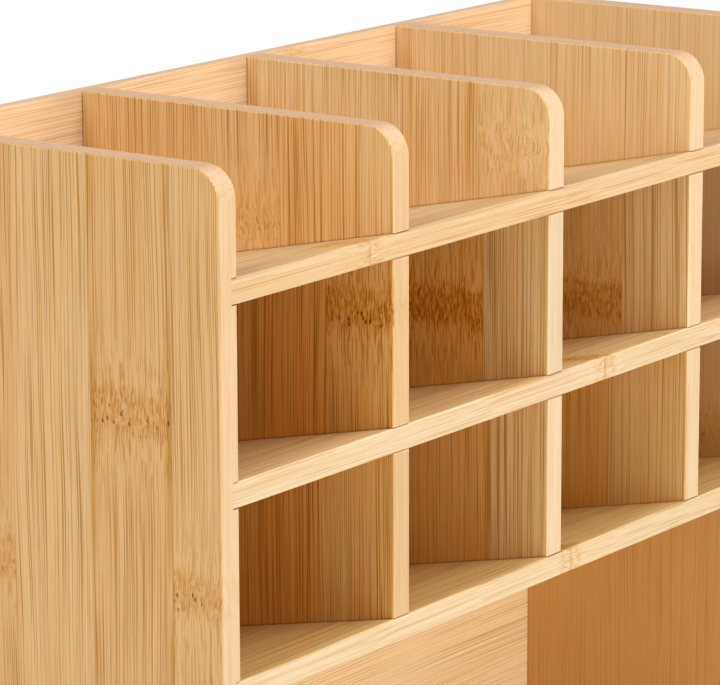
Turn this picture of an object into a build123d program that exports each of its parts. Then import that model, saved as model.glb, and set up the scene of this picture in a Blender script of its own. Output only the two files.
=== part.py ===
from build123d import *

import math
import os

# Bamboo desk organizer: four columns of open-topped bins and closed cells on sloping shelves,
# over one full-width bay. Boards are glued in dados, grooves and rabbets, and the thin back is pinned.
# Frame: +Z up, the front faces -Y, and the origin is on the rest plane, under the middle of the case.

os.makedirs("parts", exist_ok=True)

# ---- Driving dimensions, in mm and degrees ----
column_count = 4
row_names = ("top", "middle", "lower")
column_names = ("left", "centre", "right")

cell_width = 55.0           # clear width of a bin or cell
row_pitch = 43.0            # front edge of one shelf to the front edge of the next
bin_wall_height = 23.0      # side panels and top dividers, above the top shelf's front edge
bay_height = 85.0           # clear height of the open bay, at the front
inner_depth = 86.0          # front plane to the back panel
shelf_tilt = 12.0           # fall of the shelves towards the back

panel_thickness = 6.0       # side panels
divider_thickness = 6.0
shelf_thickness = 5.5
base_thickness = 6.0
back_thickness = 3.0

corner_radius = 7.0         # top front corners of the side panels and the top dividers
edge_radius = 0.5           # sanded edges of the boards
back_edge_radius = 0.4      # sanded top edges of the thin back

dado_depth = 2.0            # housing of the shelves and the base in the side panels
dado_play = 0.15            # under each shelf, in its dado
rabbet_width = 3.0          # how far the back reaches into each side panel
back_play = 0.1             # each side of the back, in its rabbet

tongue_depth = 1.0          # divider tongues, square to the shelves
tongue_setback = 8.0        # front plane to the tongues, so the grooves don't show
groove_play = 0.1           # each side, below and in front of a tongue

pin_radius = 0.6            # panel pins through the back
pin_length = 12.0
pin_head_radius = 1.2
pin_head_height = 0.6
pin_point_length = 1.5
pin_point_radius = 0.15
pin_play = 0.05             # round each pin, in its hole

pad_radius = 5.0            # rubber pads under the base
pad_thickness = 2.0
pad_inset = 12.0            # inner faces of the sides, and the front and back planes, to a pad's centre
pad_edge_radius = 0.6

# ---- Places worked out from them ----
slope = math.tan(math.radians(shelf_tilt))
upright = 1 / math.cos(math.radians(shelf_tilt))    # a length square to a shelf, measured upright
shelf_rise = shelf_thickness * upright
tongue_rise = tongue_depth * upright

column_pitch = cell_width + divider_thickness
inner_width = column_count * column_pitch - divider_thickness
overall_width = inner_width + 2 * panel_thickness
housed_width = inner_width + 2 * dado_depth
overall_depth = inner_depth + back_thickness

front = -overall_depth / 2
rear = overall_depth / 2
back_face = front + inner_depth
tongue_front = front + tongue_setback

case_bottom = pad_thickness
base_top = case_bottom + base_thickness
lower_shelf_front = base_top + bay_height + shelf_rise
shelf_fronts = [lower_shelf_front + row_pitch * step for step in (2, 1, 0)]
case_top = shelf_fronts[0] + bin_wall_height

divider_centres = [column_pitch * (column - (column_count - 2) / 2) for column in range(column_count - 1)]
cell_centres = [column_pitch * (column - (column_count - 1) / 2) for column in range(column_count)]

cut_past = 1.0              # how far a cut runs beyond the face that it opens
inward = (Align.CENTER, Align.CENTER, Align.MAX)


def on_slope(front_height, y):
    """Height at depth y of a line that falls with the shelves from front_height at the front."""
    return front_height - slope * (y - front)


def strip(top_height, bottom_height, y_start, y_end):
    """Sketch a strip along the shelf slope; both heights are its edges' heights at the front plane."""
    Polygon(
        (y_start, on_slope(top_height, y_start)),
        (y_end, on_slope(top_height, y_end)),
        (y_end, on_slope(bottom_height, y_end)),
        (y_start, on_slope(bottom_height, y_start)),
        align=None,
    )


def rectangle(y_start, y_end, z_start, z_end):
    """Sketch an upright rectangle between two depths and two heights."""
    with Locations(((y_start + y_end) / 2, (z_start + z_end) / 2)):
        Rectangle(y_end - y_start, z_end - z_start)


def pin_heights(row):
    """Heights of the pins into a shelf and into the dividers that stand on it."""
    pin_middle = back_face - (pin_length - back_thickness) / 2
    shelf_pin = on_slope(shelf_fronts[row] - shelf_rise / 2, pin_middle)
    foot = on_slope(shelf_fronts[row], back_face)
    head = case_top if row == 0 else on_slope(shelf_fronts[row - 1] - shelf_rise, back_face)
    return shelf_pin, (foot + head) / 2


shelf_pins = [[(x, pin_heights(row)[0]) for x in cell_centres] for row in range(len(row_names))]
divider_pins = [[(x, pin_heights(row)[1]) for x in divider_centres] for row in range(len(row_names))]
base_pins = [(x, case_bottom + base_thickness / 2) for x in cell_centres]
all_pins = [point for points in shelf_pins + divider_pins + [base_pins] for point in points]


def pin_places(points):
    """A place on the rear face for each (x, z), with its local Z pointing straight out behind."""
    return [Location((x, rear, z), (-90, 0, 0)) for x, z in points]


def cut_pin_holes(points):
    """Cut countersunk pin holes from the rear face into the part being built."""
    with Locations(*pin_places(points)):
        Cylinder(pin_radius + pin_play, pin_length + pin_play, align=inward, mode=Mode.SUBTRACT)
        Cone(
            pin_radius + pin_play,
            pin_head_radius + pin_play,
            pin_head_height,
            align=inward,
            mode=Mode.SUBTRACT,
        )


def finish(builder, name):
    """Label a finished piece and write it."""
    builder.part.label = name
    export_step(builder.part, f"parts/{name}.step")


# ---- Side panels: upright grain, rounded top front corner, housings on the inner face ----
def make_side_panel(side):
    """side is -1 for the left panel and 1 for the right one."""
    outer_x = side * overall_width / 2
    inner_x = side * inner_width / 2
    with BuildPart() as panel:
        with BuildSketch(Plane.YZ.offset(outer_x)) as outline:
            rectangle(front, rear, case_bottom, case_top)
            fillet(outline.vertices().group_by(Axis.Y)[-1].sort_by(Axis.X)[0], corner_radius)
        extrude(amount=-side * panel_thickness)
        fillet(panel.faces().filter_by(Axis.X).edges(), edge_radius)

        with BuildSketch(Plane.YZ.offset(inner_x)):
            for shelf_front in shelf_fronts:
                strip(shelf_front, shelf_front - shelf_rise - dado_play, front - cut_past, rear + cut_past)
            rectangle(front - cut_past, rear + cut_past, case_bottom - cut_past, base_top)
        extrude(amount=side * dado_depth, mode=Mode.SUBTRACT)

        with BuildSketch(Plane.YZ.offset(inner_x)):
            rectangle(back_face, rear + cut_past, case_bottom - cut_past, case_top + cut_past)
        extrude(amount=side * rabbet_width, mode=Mode.SUBTRACT)
    return panel


for side, side_name in ((-1, "left"), (1, "right")):
    finish(make_side_panel(side), f"{side_name}_side_panel")


# ---- Shelves: grain along X, front faces cut upright, stopped grooves for the dividers ----
def make_shelf(row):
    shelf_front = shelf_fronts[row]
    groove_rise = tongue_rise + groove_play
    with BuildPart() as shelf:
        with BuildSketch(Plane.YZ.offset(-housed_width / 2)):
            strip(shelf_front, shelf_front - shelf_rise, front, back_face)
        extrude(amount=housed_width)
        fillet(shelf.faces().sort_by(Axis.Y)[0].edges().filter_by(Axis.X), edge_radius)

        for x in divider_centres:
            with BuildSketch(Plane.YZ.offset(x)):
                strip(
                    shelf_front + cut_past,
                    shelf_front - groove_rise,
                    tongue_front - groove_play,
                    back_face + cut_past,
                )
                if row < len(row_names) - 1:
                    underside = shelf_front - shelf_rise
                    strip(
                        underside + groove_rise,
                        underside - cut_past,
                        tongue_front - groove_play,
                        back_face + cut_past,
                    )
            extrude(amount=divider_thickness / 2 + groove_play, both=True, mode=Mode.SUBTRACT)
        cut_pin_holes(shelf_pins[row])
    return shelf


for row, row_name in enumerate(row_names):
    finish(make_shelf(row), f"{row_name}_shelf")


# ---- Base board: level, housed in the bottom of both side panels ----
with BuildPart() as base_board:
    with BuildSketch(Plane.YZ.offset(-housed_width / 2)):
        rectangle(front, back_face, case_bottom, base_top)
    extrude(amount=housed_width)
    fillet(base_board.faces().sort_by(Axis.Y)[0].edges().filter_by(Axis.X), edge_radius)
    cut_pin_holes(base_pins)
finish(base_board, "base_board")


# ---- Dividers: upright grain, butted to the shelves in front and tongued into them behind ----
def make_divider(row, column):
    foot = shelf_fronts[row]
    is_open_topped = row == 0
    with BuildPart() as divider:
        with BuildSketch(Plane.YZ.offset(divider_centres[column])) as outline:
            if is_open_topped:
                strip(foot, foot - tongue_rise, tongue_front, back_face)
                Polygon(
                    (front, case_top),
                    (back_face, case_top),
                    (back_face, on_slope(foot, back_face)),
                    (front, foot),
                    align=None,
                )
                fillet(outline.vertices().group_by(Axis.Y)[-1].sort_by(Axis.X)[0], corner_radius)
            else:
                head = shelf_fronts[row - 1] - shelf_rise
                strip(head, foot, front, back_face)
                strip(head + tongue_rise, foot - tongue_rise, tongue_front, back_face)
        extrude(amount=divider_thickness / 2, both=True)

        if is_open_topped:
            sanded_faces = divider.faces().filter_by(lambda face: abs(face.normal_at().X) < 0.5)
            above_the_shelf = sanded_faces.filter_by(lambda face: face.center().Z > foot)
            visible_faces = above_the_shelf.filter_by(lambda face: face.center().Y < back_face - edge_radius)
            sanded_edges = visible_faces.edges() - visible_faces.edges().filter_by(Axis.X)
        else:
            sanded_edges = divider.faces().sort_by(Axis.Y)[0].edges()
        fillet(sanded_edges, edge_radius)
        cut_pin_holes([divider_pins[row][column]])
    return divider


for row, row_name in enumerate(row_names):
    for column, column_name in enumerate(column_names):
        finish(make_divider(row, column), f"{row_name}_{column_name}_divider")


# ---- Back panel: thin board with level grain, let into both sides and pinned to every board ----
back_width = inner_width + 2 * (rabbet_width - back_play)

with BuildPart() as back_panel:
    with BuildSketch(Plane.YZ.offset(-back_width / 2)):
        rectangle(back_face, rear, case_bottom, case_top)
    extrude(amount=back_width)
    fillet(back_panel.faces().sort_by(Axis.Z)[-1].edges().filter_by(Axis.X), back_edge_radius)
    cut_pin_holes(all_pins)
finish(back_panel, "back_panel")


# ---- Panel pins: steel, flat heads flush with the rear face, drawn points ----
with BuildPart() as back_panel_pins:
    with Locations(*pin_places(all_pins)):
        Cylinder(pin_radius, pin_length - pin_point_length, align=inward)
        Cone(pin_radius, pin_head_radius, pin_head_height, align=inward)
    with Locations(*[place * Pos(0, 0, pin_point_length - pin_length) for place in pin_places(all_pins)]):
        Cone(pin_point_radius, pin_radius, pin_point_length, align=inward)
finish(back_panel_pins, "back_panel_pins")


# ---- Foot pads: rubber discs stuck under the base board ----
def make_foot_pad(x, y):
    with BuildPart() as pad:
        with Locations((x, y, 0)):
            Cylinder(pad_radius, pad_thickness, align=(Align.CENTER, Align.CENTER, Align.MIN))
        fillet(pad.edges().sort_by(Axis.Z)[0], pad_edge_radius)
    return pad


pad_x = inner_width / 2 - pad_inset
pad_places = {
    "front_left": (-pad_x, front + pad_inset),
    "front_right": (pad_x, front + pad_inset),
    "rear_left": (-pad_x, rear - pad_inset),
    "rear_right": (pad_x, rear - pad_inset),
}
for pad_name, (x, y) in pad_places.items():
    finish(make_foot_pad(x, y), f"{pad_name}_foot_pad")
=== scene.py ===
import math

import bpy
from mathutils import Matrix, Vector

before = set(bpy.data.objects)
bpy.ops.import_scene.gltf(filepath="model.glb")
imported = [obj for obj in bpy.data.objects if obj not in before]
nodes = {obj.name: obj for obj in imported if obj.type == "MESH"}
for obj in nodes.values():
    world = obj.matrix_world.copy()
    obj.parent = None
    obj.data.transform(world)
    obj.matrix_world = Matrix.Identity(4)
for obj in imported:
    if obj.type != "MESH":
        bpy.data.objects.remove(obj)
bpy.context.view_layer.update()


# ---------------------------------------------------------------------------------------------
# Camera
# A long lens just under a metre away, up and to the left of the open front, looking along the
# rows of cells. It takes in the upper left part of the organizer only.
# ---------------------------------------------------------------------------------------------
MM = 0.001               # metres

scene = bpy.context.scene
camera_place = Vector((-768.2, -545.3, 357.3)) * MM
camera_aim = Vector((-76.4, -44.5, 163)) * MM
camera_roll = math.radians(-0.18)

camera = bpy.data.objects.new("camera", bpy.data.cameras.new("camera"))
camera.data.lens = 205.5
camera.data.clip_start = 0.05
camera.location = camera_place
camera_turn = (camera_aim - camera_place).to_track_quat("-Z", "Y").to_matrix()
camera.rotation_euler = (camera_turn @ Matrix.Rotation(camera_roll, 3, "Z")).to_euler()
scene.collection.objects.link(camera)
scene.camera = camera


LACQUER_IOR = 1.4        # a thin coat, which shines less than a full one
LACQUER_ROUGHNESS = (0.42, 0.58)
RELIEF_HEIGHT = 0.04     # mm, how proud the sanding leaves the fibres
RELIEF_STRENGTH = 0.4
PIT_DEPTH = 0.3          # of that height
STRIP_WIDTH = 21.5       # mm, one laid strip
STRIP_SHIFT = 613.0      # mm along the grain, so that neighbouring strips share no fibres
BOARD_SHIFT = 17.0       # strips, so that two boards share none
GLUE_LINE = 0.25         # mm from a strip's side
GREEN_MARGIN = (2.0, 0.6)        # mm from a strip's side, where green starts and where it is full
GREEN_PER_MM = 0.03      # how often the green comes and goes along the grain
GREEN_SHOWS = (0.35, 0.6)        # the values of that pattern that bring it from none to full
JOINT_SHADE_REACH = 0.45       # mm from where two boards meet, that the painted shade of a joint reaches
JOINT_SHADE_SHOWS = (0.85, 0.55)       # how open the surface is there, with no painted shade and with a full line of it

# an ordinary strip, which a board's strips differ from
PLAIN_STRIP = {
    "knuckle": 1000.0,       # the knuckle's place along the grain in mm: this one is off the board
    "ridge": 0.0,            # how dark the knuckle's ridge is
    "pits": 1.0,             # how plain the pits in that ridge are
    "broken": 0.0,           # how strongly the fibres break up round the knuckle
    "scar": 0.0,             # how dark the knuckle's line is on a planed edge
    "honey_and_shade": 0.0,            # how honey-toned the strip is: partly its own tone, partly painted shade deep in a cell
    "golden_shade": 0.0,           # how much golden painted shade the strip gets on the way down past its knuckle
    "rosy": 0.0,             # how rosy brown the strip is
    "green": 0.0,            # how much green skin is left at the strip's sides
}

# fibre bundles: about how wide across the grain and how long they are, in mm, then the values of
# their pattern that bring them from none to full
FIBRE_LAYERS = {
    "bands": (2.9, 420.0, 0.35, 0.65),       # broad soft changes of tone
    "streaks": (0.50, 330.0, 0.46, 0.60),    # bundles seen one by one
    "lines": (0.25, 70.0, 0.53, 0.61),       # single fibres, drawn wider than the real 0.1 to show
    "dashes": (0.28, 6.5, 0.52, 0.59),       # pores and broken fibres, most of them near a knuckle
    "blotches": (0.50, 2.4, 0.48, 0.55),     # the knuckle itself
}
PORES_EVERYWHERE = 0.15  # how plain the dashes are away from a knuckle

# the marks of a knuckle: how far from its own middle line each starts and where it is full, in mm
# along the grain, then its strength there and how it comes in
KNUCKLE_MARKS = {
    "broken": (24.0, 4.0, 1.0, "SMOOTHSTEP"),
    "swirl": (9.0, 1.0, 1.3, "SMOOTHSTEP"),  # its strength is the fibres' swing across the grain in mm
    "stain": (8.0, 1.5, 1.0, "SMOOTHSTEP"),
    "ridge": (5.5, 3.0, 1.4, "SMOOTHSTEP"),
    "pits": (2.6, 1.4, 2.0, "LINEAR"),       # a row of pin-pricks on the ridge's lower side
    "scar": (0.6, 0.1, 1.0, "LINEAR"),       # a thin line across a planed edge
}
RAGGED = 3.5             # mm, how far a ridge strays to either side
RAGGED_PER_MM = 0.45     # how often it does so across the grain
SWIRL_PER_MM = 0.22      # how often the swirl turns
PIT_ROW = 1.8            # mm from the ridge's middle to the row of pits below it
PITS_PER_MM = (0.75, 0.75, 0.42)         # across, through and along the grain
PIT_SIZE = (0.26, 0.18)  # shares of the space between pits: a pit's rim, and where it is full
GOLDEN_SHADE_RISE = (40.0, -20.0)      # mm above the knuckle, where the golden painted shade starts and where it is full
WANDER = 1.2             # mm, how far fibres stray to either side
WANDER_PER_MM = (0.05, 0.012, 1.0)       # across and along the grain, then from strip to strip

# the wide face: each feature is a tint over the board's own colour
FACE_TINTS = {
    "bands": "#fef6e6",
    "strip": "#faf3e8",
    # honey: partly the strip's own tone and partly painted shade deep in a cell
    "honey_and_shade": "#fae5b4",
    "rosy": "#ecdde8",
    # golden: painted shade, deeper and more saturated low down past a knuckle
    "golden_shade": "#f3d83c",
    "streaks": "#fbf4e4",
    "lines": "#c9af70",
    "dashes": "#d4b858",
    "blotches": "#e6ca64",
    "stain": "#f2dea4",
    "green": "#dfd079",
    "seam": "#ecdcc0",
    "pits": "#947a10",
    # joint: painted shade where boards meet, with the glue
    "joint_glue_and_shade": "#9c7448",
}

# the planed edge: greyer and plainer, and without seams, because it lies within one strip
EDGE_TINTS = {
    "bands": "#fffaf2",
    "streaks": "#f8ecd4",
    "lines": "#e2c68c",
    "dashes": "#ead2aa",
    "blotches": "#ecd39c",
    "scar": "#d4b060",
    # joint: painted shade where boards meet, with the glue
    "joint_glue_and_shade": "#c8a880",
}

# the sawn end: greyish tan, specked with the cut ends of fibres, and with a painted highlight that makes it
# palest on a rounded corner
END_COLOUR = "#bc9771"
CORNER_HIGHLIGHT_COLOUR = "#d0af8e"
END_TINTS = {
    "streaks": "#faf4ea",
    "lines": "#efe2d0",
}


def linear(code):
    """An sRGB hex colour as the linear colour that a shader takes."""
    channels = [int(code[i:i + 2], 16) / 255 for i in (1, 3, 5)]
    return tuple(c / 12.92 if c <= 0.04045 else ((c + 0.055) / 1.055) ** 2.4 for c in channels) + (1.0,)


def add(tree, kind, inputs, output=0, **settings):
    """Add a shader node with its settings and return one output; an input is a value or an output."""
    node = tree.nodes.new("ShaderNode" + kind)
    for setting, value in settings.items():
        setattr(node, setting, value)
    for socket, value in inputs.items():
        if isinstance(value, bpy.types.NodeSocket):
            tree.links.new(value, node.inputs[socket])
        else:
            node.inputs[socket].default_value = value
    return node.outputs[output]


def laid_bamboo(node, grain, across, seam, strips, face, edge, seed, figure=1.0, edge_figure=0.35):
    """Lacquered bamboo on one board. Grain and across are axes; strip 0 starts at seam mm. Strips says
    where a strip differs from a plain one. Face and edge are the board's colours between the fibres,
    and figure and edge_figure say how strongly the fibres stand out from them."""
    material = bpy.data.materials.new("laid_bamboo_" + node)
    material.use_nodes = True
    tree = material.node_tree
    shader = tree.nodes["Principled BSDF"]
    shader.inputs["IOR"].default_value = LACQUER_IOR
    through = next(axis for axis in "XYZ" if axis not in (grain, across))

    # where a point is in mm, and how much of a planed edge or a sawn end its surface is
    place = add(tree, "TexCoord", {}, "Object")
    place = add(tree, "VectorMath", {0: place, "Scale": 1 / MM}, operation="SCALE")
    mm = add(tree, "SeparateXYZ", {0: place}).node.outputs
    normal = add(tree, "NewGeometry", {}, "Normal")
    facing = add(tree, "SeparateXYZ", {0: normal}).node.outputs
    on_edge = add(tree, "Math", {0: facing[across], 1: facing[across]}, operation="MULTIPLY")
    on_end = add(tree, "Math", {0: facing[grain], 1: facing[grain]}, operation="MULTIPLY")

    # which strip this is, how far into it, and its own number
    in_strips = add(tree, "MapRange", {"Value": mm[across], "From Min": seam,
                                       "From Max": seam + STRIP_WIDTH}, clamp=False)
    strip = add(tree, "Math", {0: in_strips}, operation="FLOOR")
    in_strip = add(tree, "Math", {0: in_strips}, operation="FRACT")
    strip_seed = add(tree, "Math", {0: strip, 1: seed * BOARD_SHIFT}, operation="ADD")

    # what this strip is like
    own = dict(PLAIN_STRIP)
    for number, features in strips.items():
        here = add(tree, "Math", {0: strip, 1: float(number), 2: 0.5}, operation="COMPARE")
        for feature, value in features.items():
            change = value - PLAIN_STRIP[feature]
            own[feature] = add(tree, "Math", {0: here, 1: change, 2: own[feature]}, operation="MULTIPLY_ADD")

    # fibres wander by a millimetre or so along a board
    wander = add(tree, "CombineXYZ", {"X": mm[across], "Y": mm[grain], "Z": strip_seed})
    wander = add(tree, "VectorMath", {0: wander, 1: WANDER_PER_MM}, operation="MULTIPLY")
    wander = add(tree, "TexNoise", {"Vector": wander, "Scale": 1.0, "Detail": 1.0})
    wander = add(tree, "MapRange", {"Value": wander, "To Min": -WANDER, "To Max": WANDER}, clamp=False)

    # how near this is to the marks of the strip's knuckle, whose ridge has a ragged outline
    from_knuckle = add(tree, "Math", {0: mm[grain], 1: own["knuckle"]}, operation="SUBTRACT")
    ragged = add(tree, "CombineXYZ", {"X": mm[across], "Y": mm[through], "Z": strip_seed})
    ragged = add(tree, "TexNoise", {"Vector": ragged, "Scale": RAGGED_PER_MM, "Detail": 3.0,
                                    "Roughness": 0.65})
    ragged = add(tree, "MapRange", {"Value": ragged, "To Min": -RAGGED, "To Max": RAGGED}, clamp=False)
    from_ridge = add(tree, "Math", {0: from_knuckle, 1: ragged}, operation="ADD")
    from_pits = add(tree, "Math", {0: from_ridge, 1: PIT_ROW}, operation="ADD")
    from_scar = add(tree, "Math", {0: from_knuckle, 1: wander}, operation="ADD")
    near = {}
    for mark, distance in (("broken", from_knuckle), ("swirl", from_knuckle), ("stain", from_ridge),
                           ("ridge", from_ridge), ("pits", from_pits), ("scar", from_scar)):
        start, full, strength, fade = KNUCKLE_MARKS[mark]
        distance = add(tree, "Math", {0: distance}, operation="ABSOLUTE")
        near[mark] = add(tree, "MapRange", {"Value": distance, "From Min": start, "From Max": full,
                                            "To Max": strength}, interpolation_type=fade)

    # where in the fibres' pattern a point is, with a swirl round a knuckle
    along = add(tree, "Math", {0: strip_seed, 1: STRIP_SHIFT, 2: mm[grain]}, operation="MULTIPLY_ADD")
    sideways = add(tree, "Math", {0: mm[across], 1: wander}, operation="ADD")
    fibre_place = add(tree, "CombineXYZ", {"X": sideways, "Y": mm[through], "Z": along})
    swirl = add(tree, "TexNoise", {"Vector": fibre_place, "Scale": SWIRL_PER_MM, "Detail": 0.0}, "Color")
    swirl = add(tree, "VectorMath", {0: swirl, 1: (1, 1, 0), 2: (-0.5, -0.5, 0)}, operation="MULTIPLY_ADD")
    swirl = add(tree, "VectorMath", {0: swirl, "Scale": near["swirl"]}, operation="SCALE")
    fibre_place = add(tree, "VectorMath", {0: fibre_place, 1: swirl}, operation="ADD")

    # the fibres: long ones stop short of a knuckle, and broken ones gather round it
    pattern = {}
    masks = {}
    for layer, (width, length, none, full) in FIBRE_LAYERS.items():
        scaled = add(tree, "VectorMath", {0: fibre_place, 1: (1 / width, 1 / width, 1 / length)},
                     operation="MULTIPLY")
        pattern[layer] = add(tree, "TexNoise", {"Vector": scaled, "Scale": 1.0, "Detail": 1.0})
        masks[layer] = add(tree, "MapRange", {"Value": pattern[layer], "From Min": none, "From Max": full})
    straight = add(tree, "Math", {0: 1.0, 1: near["broken"]}, operation="SUBTRACT")
    broken = add(tree, "Math", {0: near["broken"], 1: own["broken"], 2: PORES_EVERYWHERE},
                 operation="MULTIPLY_ADD")
    ridge = add(tree, "Math", {0: near["ridge"], 1: own["ridge"]}, operation="MULTIPLY")
    for layer, share in (("lines", straight), ("dashes", broken), ("blotches", ridge)):
        masks[layer] = add(tree, "Math", {0: masks[layer], 1: share}, operation="MULTIPLY")

    # the pits: loose pin-pricks, only where a strip has a ridge
    pits = add(tree, "CombineXYZ", {"X": sideways, "Y": mm[through], "Z": mm[grain]})
    pits = add(tree, "VectorMath", {0: pits, 1: PITS_PER_MM}, operation="MULTIPLY")
    pits = add(tree, "TexVoronoi", {"Vector": pits, "Scale": 1.0}, "Distance")
    pits = add(tree, "MapRange", {"Value": pits, "From Min": PIT_SIZE[0], "From Max": PIT_SIZE[1]})
    for share in (near["pits"], own["ridge"], own["pits"]):
        pits = add(tree, "Math", {0: pits, 1: share}, operation="MULTIPLY")
    masks["pits"] = pits

    # the strip's own tone; its honey is partly painted shade, and its golden tone below a knuckle is painted
    # shade
    tone = add(tree, "TexWhiteNoise", {"W": strip_seed}, "Color", noise_dimensions="1D")
    masks["strip"] = add(tree, "SeparateXYZ", {0: tone})
    masks["honey_and_shade"] = own["honey_and_shade"]
    masks["rosy"] = own["rosy"]
    golden_shade = add(tree, "MapRange", {"Value": from_knuckle, "From Min": GOLDEN_SHADE_RISE[0],
                                    "From Max": GOLDEN_SHADE_RISE[1]}, interpolation_type="SMOOTHSTEP")

    # the sides of a strip: the glue line, and in some strips a green margin that comes and goes
    to_side = add(tree, "Math", {0: in_strip, 1: 0.5}, operation="SUBTRACT")
    to_side = add(tree, "Math", {0: to_side}, operation="ABSOLUTE")
    seam_starts = 0.5 - GLUE_LINE / STRIP_WIDTH
    masks["seam"] = add(tree, "MapRange", {"Value": to_side, "From Min": seam_starts, "From Max": 0.5})
    margin_starts, margin_full = [0.5 - distance / STRIP_WIDTH for distance in GREEN_MARGIN]
    margin = add(tree, "MapRange", {"Value": to_side, "From Min": margin_starts, "From Max": margin_full})
    green = add(tree, "TexNoise", {"W": mm[grain], "Scale": GREEN_PER_MM, "Detail": 1.0},
                noise_dimensions="1D")
    green = add(tree, "MapRange", {"Value": green, "From Min": GREEN_SHOWS[0], "From Max": GREEN_SHOWS[1]})
    green = add(tree, "Math", {0: margin, 1: green}, operation="MULTIPLY")

    # the marks that only some strips have, among them the golden painted shade
    for mask, shown, share in (("golden_shade", golden_shade, own["golden_shade"]), ("stain", near["stain"], own["ridge"]),
                               ("scar", near["scar"], own["scar"]), ("green", green, own["green"])):
        masks[mask] = add(tree, "Math", {0: shown, 1: share}, operation="MULTIPLY")

    # a thin dark line where boards meet: painted shade from ambient occlusion, in the hair of a gap and over
    # the glue
    joint_glue_and_shade = add(tree, "AmbientOcclusion", {"Distance": JOINT_SHADE_REACH * MM}, "AO", samples=4)
    masks["joint_glue_and_shade"] = add(tree, "MapRange", {"Value": joint_glue_and_shade, "From Min": JOINT_SHADE_SHOWS[0],
                                            "From Max": JOINT_SHADE_SHOWS[1]})

    # the three kinds of surface on a board, and the painted highlight on a rounded corner: each has a colour
    # of its own, and its tints multiply it
    colours = {}
    for surface, (colour, tints, strength) in {
        "face": (face, FACE_TINTS, figure),
        "edge": (edge, EDGE_TINTS, edge_figure),
        "end": (END_COLOUR, END_TINTS, 1.0),
        "corner_highlight": (CORNER_HIGHLIGHT_COLOUR, END_TINTS, 1.0),
    }.items():
        colour = linear(colour)
        for mask, tint in tints.items():
            tint = [max(0.0, 1 - strength * (1 - channel)) for channel in linear(tint)]
            colour = add(tree, "Mix", {"Factor": masks[mask], "A": colour, "B": tint}, "Result",
                         data_type="RGBA", blend_type="MULTIPLY")
        colours[surface] = colour

    # edge times end is a quarter halfway round a corner, so four times that is the corner's share, where the
    # painted highlight shows
    on_corner = add(tree, "Math", {0: on_end, 1: on_edge}, operation="MULTIPLY")
    on_corner = add(tree, "Math", {0: on_corner, 1: 4.0}, operation="MULTIPLY")
    colour = colours["face"]
    for surface, share in (("edge", on_edge), ("end", on_end), ("corner_highlight", on_corner)):
        colour = add(tree, "Mix", {"Factor": share, "A": colour, "B": colours[surface]}, "Result",
                     data_type="RGBA")

    # matt lacquer: it follows the fibres, which stand a little proud, and dips into the pits
    roughness = add(tree, "MapRange", {"Value": pattern["streaks"], "To Min": LACQUER_ROUGHNESS[0],
                                       "To Max": LACQUER_ROUGHNESS[1]})
    relief = add(tree, "Math", {0: masks["pits"], 1: -PIT_DEPTH, 2: pattern["lines"]},
                 operation="MULTIPLY_ADD")
    relief = add(tree, "Bump", {"Height": relief, "Strength": RELIEF_STRENGTH,
                                "Distance": RELIEF_HEIGHT * MM})
    tree.links.new(colour, shader.inputs["Base Color"])
    tree.links.new(roughness, shader.inputs["Roughness"])
    tree.links.new(relief, shader.inputs["Normal"])
    nodes[node].material_slots[0].material = material


laid_bamboo(
    "left_side_panel", grain="Z", across="Y", seam=-31.6, seed=1,
    face="#dab37e", edge="#c4a67f", figure=0.9,
    strips={
        -1: {"knuckle": 117, "ridge": 0.39, "pits": 1.4, "broken": 0.5},
        0: {"knuckle": 154, "ridge": 0.43, "pits": 1.4, "broken": 0.66, "green": 1},
        2: {"knuckle": 118, "ridge": 0.3, "broken": 0.4},
    })
# its golden strips are painted shade, deeper low down, where this panel walls the open bay
laid_bamboo(
    "right_side_panel", grain="Z", across="Y", seam=-25.0, seed=2,
    face="#e1bf90", edge="#dfbe8e", figure=0.4,
    strips={
        -1: {"knuckle": 57, "ridge": 0.5, "broken": 0.5, "golden_shade": 0.8},
        0: {"knuckle": 101, "ridge": 0.5, "broken": 0.5, "golden_shade": 1},
        1: {"knuckle": 84, "ridge": 0.5, "broken": 0.5, "golden_shade": 1},
        2: {"knuckle": 128, "ridge": 0.5, "broken": 0.5, "golden_shade": 1},
        3: {"knuckle": 70, "golden_shade": 1},
    })


# ---------------------------------------------------------------------------------------------
# Shelves
# Three sloping boards of the same laid bamboo with their grain from side to side, glued into the
# dados of the side panels. Their front edges are planed upright and left square.
# ---------------------------------------------------------------------------------------------
laid_bamboo(
    "top_shelf", grain="X", across="Y", seam=-30.0, seed=3,
    face="#d0b794", edge="#c5a77f", edge_figure=0.7,
    strips={
        -1: {"knuckle": -72.5, "ridge": 0.5, "broken": 0.5, "scar": 0.5},
        0: {"knuckle": 59, "ridge": 0.5, "broken": 0.5},
        2: {"knuckle": -20, "ridge": 0.5, "broken": 0.5},
    })
laid_bamboo(
    "middle_shelf", grain="X", across="Y", seam=-27.0, seed=4,
    face="#f8deb4", edge="#c7af8d", edge_figure=0.6,
    strips={
        -1: {"knuckle": 21, "ridge": 0.6, "broken": 0.5, "scar": 1},
        1: {"knuckle": -70, "ridge": 0.5, "broken": 0.5},
        2: {"knuckle": 90, "ridge": 0.5, "broken": 0.5},
    })
laid_bamboo(
    "lower_shelf", grain="X", across="Y", seam=-33.0, seed=5,
    face="#e3c998", edge="#c7b18f", edge_figure=0.6,
    strips={
        -1: {"knuckle": 7.2, "ridge": 0.7, "broken": 0.5, "scar": 0.8},
        1: {"knuckle": 60, "ridge": 0.5, "broken": 0.5},
        2: {"knuckle": -90, "ridge": 0.5, "broken": 0.5},
    })


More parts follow.
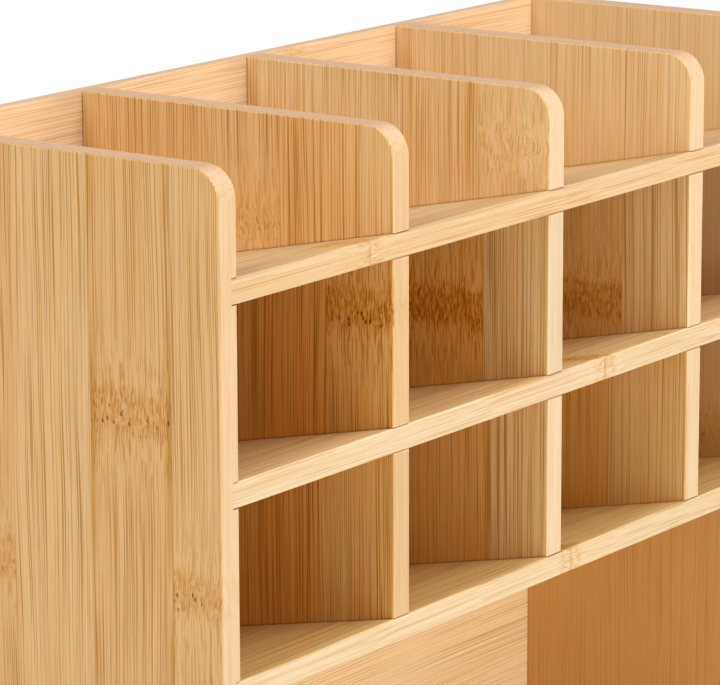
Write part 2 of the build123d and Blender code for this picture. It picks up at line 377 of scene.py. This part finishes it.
# ---------------------------------------------------------------------------------------------
# Base board
# The floor of the open bay: one more board of laid bamboo with its grain from side to side, glued
# into the lowest dados.
# ---------------------------------------------------------------------------------------------
laid_bamboo(
    "base_board", grain="X", across="Y", seam=-29.0, seed=6,
    face="#e5b26d", edge="#dfbe8e",
    strips={
        -1: {"knuckle": -40, "ridge": 0.5, "broken": 0.5},
        1: {"knuckle": 30, "ridge": 0.5, "broken": 0.5},
    })


# ---------------------------------------------------------------------------------------------
# Dividers
# Nine short boards with their grain upright, slid into the shelves' stopped grooves and glued.
# The top three have the same rounded front corner as the side panels.
# ---------------------------------------------------------------------------------------------
# a divider's honey strips are partly their own tone and partly painted shade, deeper in the lower cells
laid_bamboo(
    "top_left_divider", grain="Z", across="Y", seam=-14.0, seed=11,
    face="#e9c28b", edge="#c3a37b",
    strips={
        -1: {"honey_and_shade": 0.3},
        0: {"knuckle": 183.4, "ridge": 0.2, "broken": 0.3},
    })
laid_bamboo(
    "top_centre_divider", grain="Z", across="Y", seam=-25.0, seed=12,
    face="#ebcc9f", edge="#c9ae8d", figure=0.9,
    strips={
        -1: {"knuckle": 193, "broken": 0.45},
        0: {"honey_and_shade": 0.3},
    })
laid_bamboo(
    "top_right_divider", grain="Z", across="Y", seam=-26.0, seed=13,
    face="#e7c596", edge="#c9af8b", figure=0.66,
    strips={0: {"honey_and_shade": 0.2}})
laid_bamboo(
    "middle_left_divider", grain="Z", across="Y", seam=-26.4, seed=14,
    face="#f7c981", edge="#c1a074", figure=1.1,
    strips={
        -1: {"knuckle": 167, "ridge": 0.5, "pits": 0.9, "broken": 0.8},
        0: {"honey_and_shade": 0.5},
    })
laid_bamboo(
    "middle_centre_divider", grain="Z", across="Y", seam=-26.3, seed=15,
    face="#f8deae", edge="#c2aa8b",
    strips={0: {"knuckle": 154.6, "ridge": 1.0, "pits": 0.2, "broken": 0.85, "honey_and_shade": 1.0}})
laid_bamboo(
    "middle_right_divider", grain="Z", across="Y", seam=-25.6, seed=16,
    face="#f7d8a7", edge="#c9ad88", figure=0.85,
    strips={0: {"knuckle": 145.5, "ridge": 0.9, "pits": 0.3, "broken": 0.7, "honey_and_shade": 0.5}})
laid_bamboo(
    "lower_left_divider", grain="Z", across="Y", seam=-24.0, seed=17,
    face="#eac282", edge="#bc9b6e", figure=1.1,
    strips={
        0: {"honey_and_shade": 0.7},
        2: {"knuckle": 100, "ridge": 0.5, "broken": 0.5},
    })
laid_bamboo(
    "lower_centre_divider", grain="Z", across="Y", seam=-28.0, seed=18,
    face="#eecf9c", edge="#c7af8e",
    strips={0: {"honey_and_shade": 0.8}})
laid_bamboo(
    "lower_right_divider", grain="Z", across="Y", seam=-22.0, seed=19,
    face="#ebc98e", edge="#c7ac87", figure=0.8,
    strips={0: {"honey_and_shade": 1.0}})


# ---------------------------------------------------------------------------------------------
# Back panel
# A thin bamboo panel with its grain from side to side, planed paler than the rest, let into the
# rabbets of the side panels and pinned.
# ---------------------------------------------------------------------------------------------
laid_bamboo(
    "back_panel", grain="X", across="Z", seam=12.0, seed=21,
    face="#ecd4ac", edge="#bd9e7a", figure=0.55,
    strips={
        5: {"knuckle": 90, "ridge": 0.5, "broken": 0.5},
        7: {"knuckle": -80, "ridge": 0.5, "broken": 0.5, "rosy": 0.6},
        8: {"rosy": 1},
        9: {"knuckle": 16, "ridge": 0.5, "broken": 0.4, "rosy": 1},
    })


# ---------------------------------------------------------------------------------------------
# Panel pins
# Short pins of drawn steel wire, driven through the back panel. Only their heads show: grey metal,
# faintly mottled by the die.
# ---------------------------------------------------------------------------------------------
DIE_MARKS = 0.35         # mm wide each, drawn wider than the real 0.05 so that they show
DIE_MARK_DEPTH = 0.02    # mm
DIE_MARK_STRENGTH = 0.3
WIRE_ROUGHNESS = (0.25, 0.45)

steel = bpy.data.materials.new("drawn_steel_wire")
steel.use_nodes = True
tree = steel.node_tree
wire = tree.nodes["Principled BSDF"]
wire.inputs["Metallic"].default_value = 1.0
wire.inputs["Base Color"].default_value = linear("#b4b6b8")
place = add(tree, "TexCoord", {}, "Object")
marks = add(tree, "VectorMath", {0: place, "Scale": 1 / (DIE_MARKS * MM)}, operation="SCALE")
marks = add(tree, "TexNoise", {"Vector": marks, "Scale": 1.0, "Detail": 2.0})
roughness = add(tree, "MapRange", {"Value": marks, "To Min": WIRE_ROUGHNESS[0],
                                   "To Max": WIRE_ROUGHNESS[1]})
relief = add(tree, "Bump", {"Height": marks, "Strength": DIE_MARK_STRENGTH,
                            "Distance": DIE_MARK_DEPTH * MM})
tree.links.new(roughness, wire.inputs["Roughness"])
tree.links.new(relief, wire.inputs["Normal"])
nodes["back_panel_pins"].material_slots[0].material = steel


# ---------------------------------------------------------------------------------------------
# Foot pads
# Four discs of soft rubber stuck under the base board near its corners: off-white and dull, with
# the fine stipple of the mould.
# ---------------------------------------------------------------------------------------------
RUBBER_IOR = 1.52
STIPPLE = 0.5            # mm wide, one grain of the stipple
STIPPLE_DEPTH = 0.05     # mm
STIPPLE_STRENGTH = 0.5
RUBBER_ROUGHNESS = (0.65, 0.9)

rubber = bpy.data.materials.new("moulded_rubber")
rubber.use_nodes = True
tree = rubber.node_tree
pad = tree.nodes["Principled BSDF"]
pad.inputs["IOR"].default_value = RUBBER_IOR
place = add(tree, "TexCoord", {}, "Object")
stipple = add(tree, "VectorMath", {0: place, "Scale": 1 / (STIPPLE * MM)}, operation="SCALE")
stipple = add(tree, "TexNoise", {"Vector": stipple, "Scale": 1.0, "Detail": 1.0})
tone = add(tree, "Mix", {"Factor": stipple, "A": linear("#d8d4c6"), "B": linear("#e6e2d6")}, "Result",
           data_type="RGBA")
roughness = add(tree, "MapRange", {"Value": stipple, "To Min": RUBBER_ROUGHNESS[0],
                                   "To Max": RUBBER_ROUGHNESS[1]})
relief = add(tree, "Bump", {"Height": stipple, "Strength": STIPPLE_STRENGTH,
                            "Distance": STIPPLE_DEPTH * MM})
tree.links.new(tone, pad.inputs["Base Color"])
tree.links.new(roughness, pad.inputs["Roughness"])
tree.links.new(relief, pad.inputs["Normal"])
for node in ("front_left_foot_pad", "front_right_foot_pad", "rear_left_foot_pad", "rear_right_foot_pad"):
    nodes[node].material_slots[0].material = rubber


# ---------------------------------------------------------------------------------------------
# Studio
# A white paper floor that runs on into a white surround, and four soft lamps: one low in front,
# three overhead.
# ---------------------------------------------------------------------------------------------
WHITE = linear("#ffffff")
FLOOR_REACH = 4.0        # metres from the middle to each side
FLOOR_FADE = (0.35, 1.1)         # metres from the middle, where the floor starts to turn into the surround
SURROUND_LIGHT = 0.36    # what the surround gives the object, where white to the eye is 1
LAMP_AIM = Vector((0, 0, 0.1))   # metres


def shown_to_eye(tree):
    """1 for a ray that shows the studio itself, straight or in a gloss, and 0 for one that lights."""
    rays = add(tree, "LightPath", {}).node.outputs
    shown = add(tree, "Math", {0: rays["Is Camera Ray"], 1: rays["Is Glossy Ray"]}, operation="ADD")
    return add(tree, "Math", {0: shown, 1: rays["Is Transmission Ray"]}, operation="ADD", use_clamp=True)


floor = bpy.data.objects.new("floor", bpy.data.meshes.new("floor"))
corners = [(x * FLOOR_REACH, y * FLOOR_REACH, 0) for x, y in ((-1, -1), (1, -1), (1, 1), (-1, 1))]
floor.data.from_pydata(corners, [], [(0, 1, 2, 3)])
scene.collection.objects.link(floor)

paper = bpy.data.materials.new("studio_paper")
paper.use_nodes = True
tree = paper.node_tree
matt = tree.nodes["Principled BSDF"]
matt.inputs["Base Color"].default_value = linear("#f4f4f4")
matt.inputs["Roughness"].default_value = 0.9
ground = add(tree, "TexCoord", {}, "Object")
distance = add(tree, "VectorMath", {0: ground}, "Value", operation="LENGTH")
far = add(tree, "MapRange", {"Value": distance, "From Min": FLOOR_FADE[0], "From Max": FLOOR_FADE[1]},
          interpolation_type="SMOOTHSTEP")
fade_out = add(tree, "Math", {0: far, 1: shown_to_eye(tree)}, operation="MULTIPLY")
glow = add(tree, "Emission", {"Color": WHITE, "Strength": 1.0})
surface = add(tree, "MixShader", {"Fac": fade_out, 1: matt.outputs[0], 2: glow})
tree.links.new(surface, tree.nodes["Material Output"].inputs["Surface"])
floor.data.materials.append(paper)

world = bpy.data.worlds.new("studio")
scene.world = world
world.use_nodes = True
tree = world.node_tree
surround = tree.nodes["Background"]
surround.inputs["Color"].default_value = WHITE
strength = add(tree, "MapRange", {"Value": shown_to_eye(tree), "To Min": SURROUND_LIGHT, "To Max": 1.0})
tree.links.new(strength, surround.inputs["Strength"])

# each lamp's name, its place and size in metres, and its power in watts
for name, place, size, power in (
    ("low_front_softbox", (0, -1.0, 0.06), 0.3, 8.0),
    ("overhead_front_softbox", (0, -0.9, 1.3), 1.0, 11.5),
    ("overhead_softbox", (0, -0.1, 1.6), 1.2, 5.6),
    ("overhead_left_softbox", (-1.0, 0.2, 1.2), 1.0, 11.0),
):
    lamp = bpy.data.objects.new(name, bpy.data.lights.new(name, "AREA"))
    lamp.data.shape = "SQUARE"
    lamp.data.size = size
    lamp.data.energy = power
    lamp.location = place
    lamp.visible_camera = False
    lamp.rotation_euler = (LAMP_AIM - Vector(place)).to_track_quat("-Z", "Y").to_euler()
    scene.collection.objects.link(lamp)

scene.view_settings.view_transform = "Standard"
